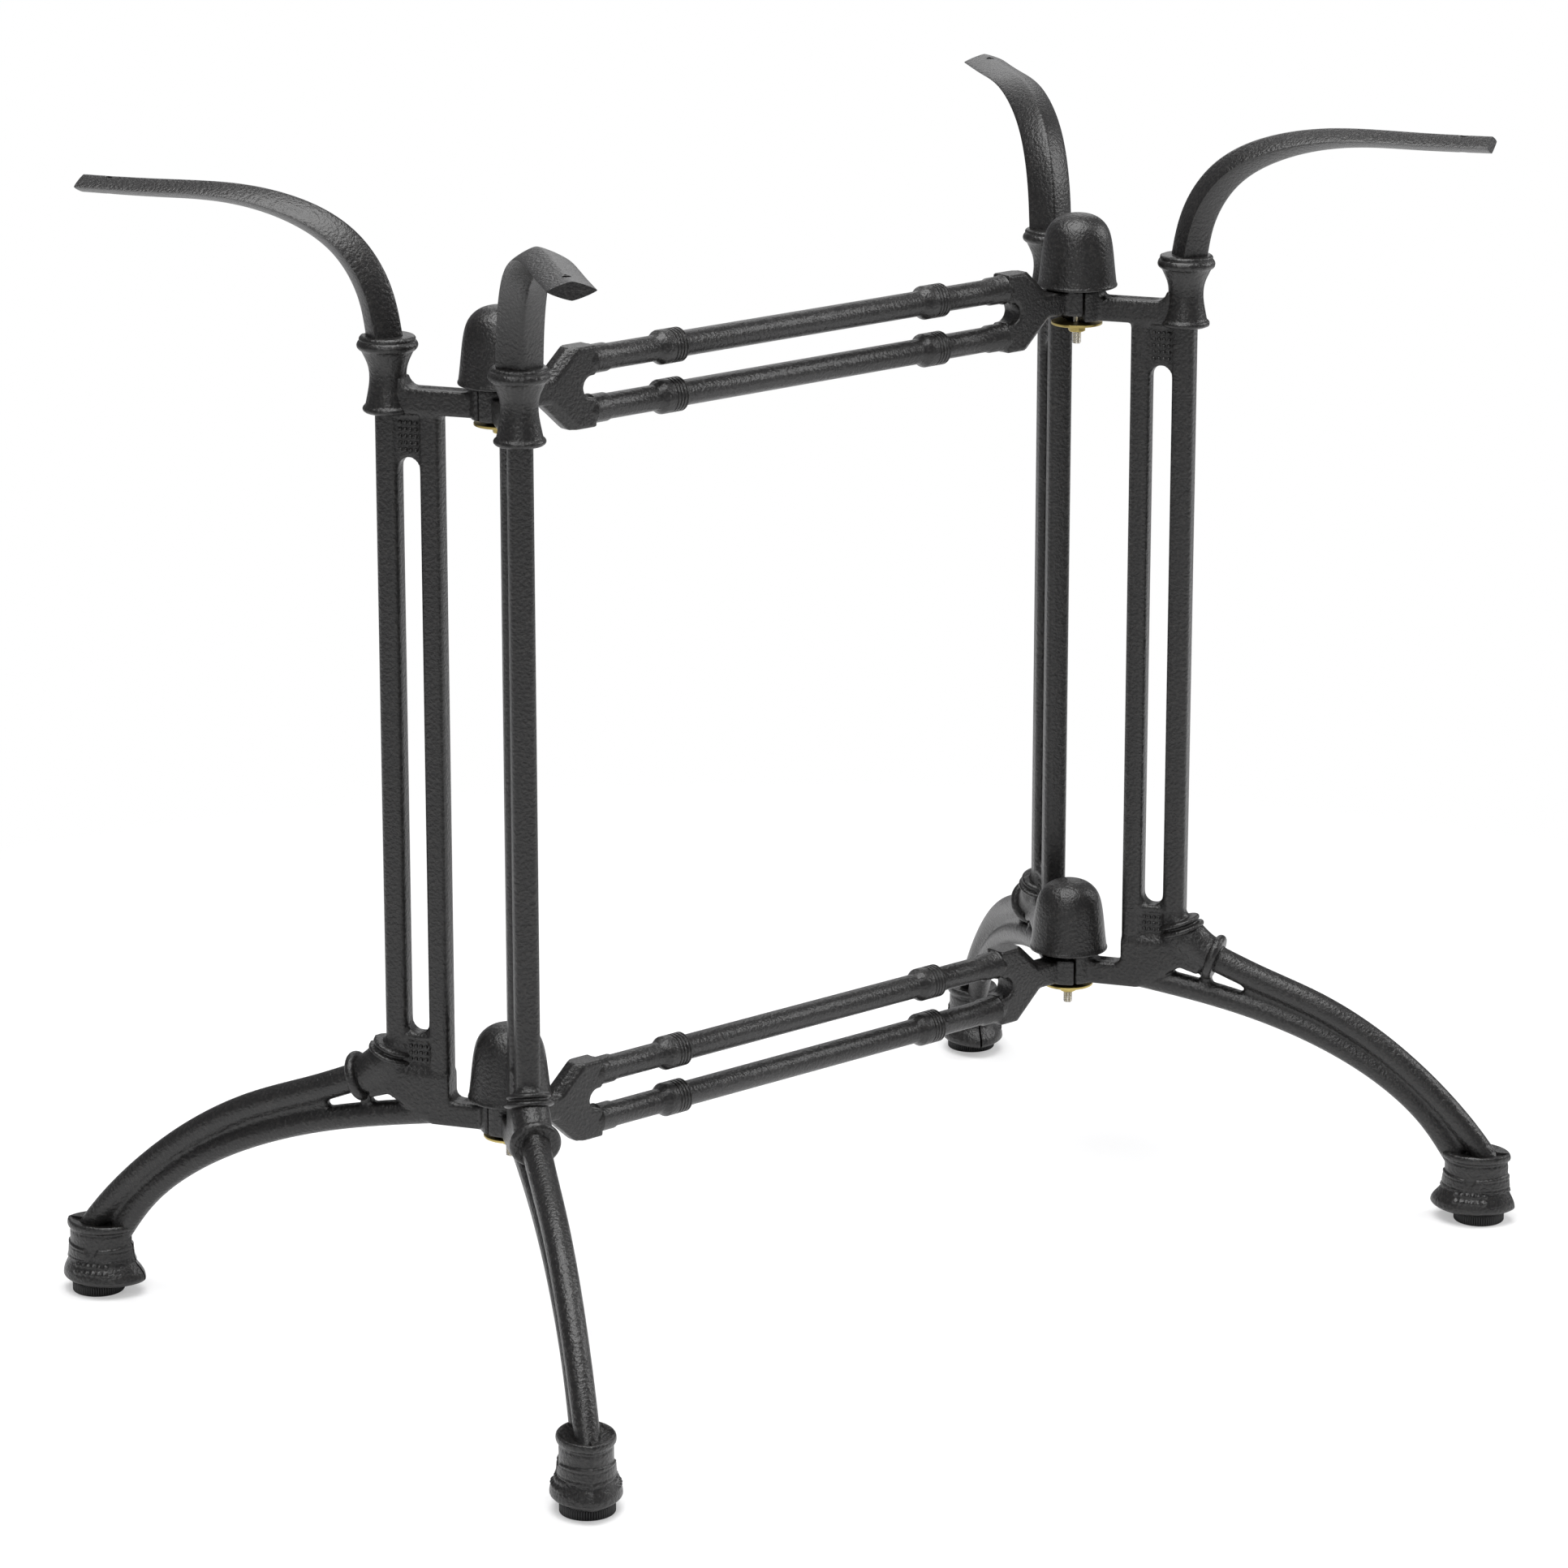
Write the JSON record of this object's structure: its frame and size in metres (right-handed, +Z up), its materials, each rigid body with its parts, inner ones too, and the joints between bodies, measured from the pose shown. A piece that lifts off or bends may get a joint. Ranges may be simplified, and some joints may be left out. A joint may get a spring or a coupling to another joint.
{
  "type": "bistro table base",
  "caption": "Cast bistro table base with splayed curved legs, arms that carry the top, bar stretchers held under domed cap nuts, and screw-in levelling glides.",
  "frame": {"origin": "on the floor, midway between the two hub axes", "axes": "+X along the stretchers, +Y across them, +Z up to the arm ridges that carry the table top"},
  "size_m": [0.8024, 0.5352, 0.7204],
  "materials": {
    "casting": "satin black powder coat with a fine pebbled skin",
    "zinc_steel": "bright zinc plate",
    "yellow_zinc": "yellow passivated zinc plate",
    "glide_plastic": "moulded black plastic"
  },
  "bodies": {
    "base": {"leg_back_left": "casting", "leg_front_left": "casting", "leg_back_right": "casting", "leg_front_right": "casting", "stretcher_upper": "casting", "stretcher_lower": "casting", "cap_upper_left": "casting", "cap_upper_right": "casting", "cap_lower_left": "casting", "cap_lower_right": "casting", "stud_upper_left": "zinc_steel", "stud_upper_right": "zinc_steel", "stud_lower_left": "zinc_steel", "stud_lower_right": "zinc_steel", "washer_upper_left": "yellow_zinc", "washer_upper_right": "yellow_zinc", "washer_lower_left": "yellow_zinc", "washer_lower_right": "yellow_zinc", "nut_upper_left": "yellow_zinc", "nut_upper_right": "yellow_zinc", "nut_lower_left": "yellow_zinc", "nut_lower_right": "yellow_zinc"},
    "foot_back_left": {"glide_back_left": "glide_plastic", "glide_stem_back_left": "zinc_steel"},
    "foot_front_left": {"glide_front_left": "glide_plastic", "glide_stem_front_left": "zinc_steel"},
    "foot_back_right": {"glide_back_right": "glide_plastic", "glide_stem_back_right": "zinc_steel"},
    "foot_front_right": {"glide_front_right": "glide_plastic", "glide_stem_front_right": "zinc_steel"}
  },
  "joints": [
    {"name": "level_back_left", "type": "slide", "parent": "base", "child": "foot_back_left", "axis": [0, 0, 1], "range_m": [-0.01, 0]},
    {"name": "level_front_left", "type": "slide", "parent": "base", "child": "foot_front_left", "axis": [0, 0, 1], "range_m": [-0.01, 0]},
    {"name": "level_back_right", "type": "slide", "parent": "base", "child": "foot_back_right", "axis": [0, 0, 1], "range_m": [-0.01, 0]},
    {"name": "level_front_right", "type": "slide", "parent": "base", "child": "foot_front_right", "axis": [0, 0, 1], "range_m": [-0.01, 0]}
  ]
}
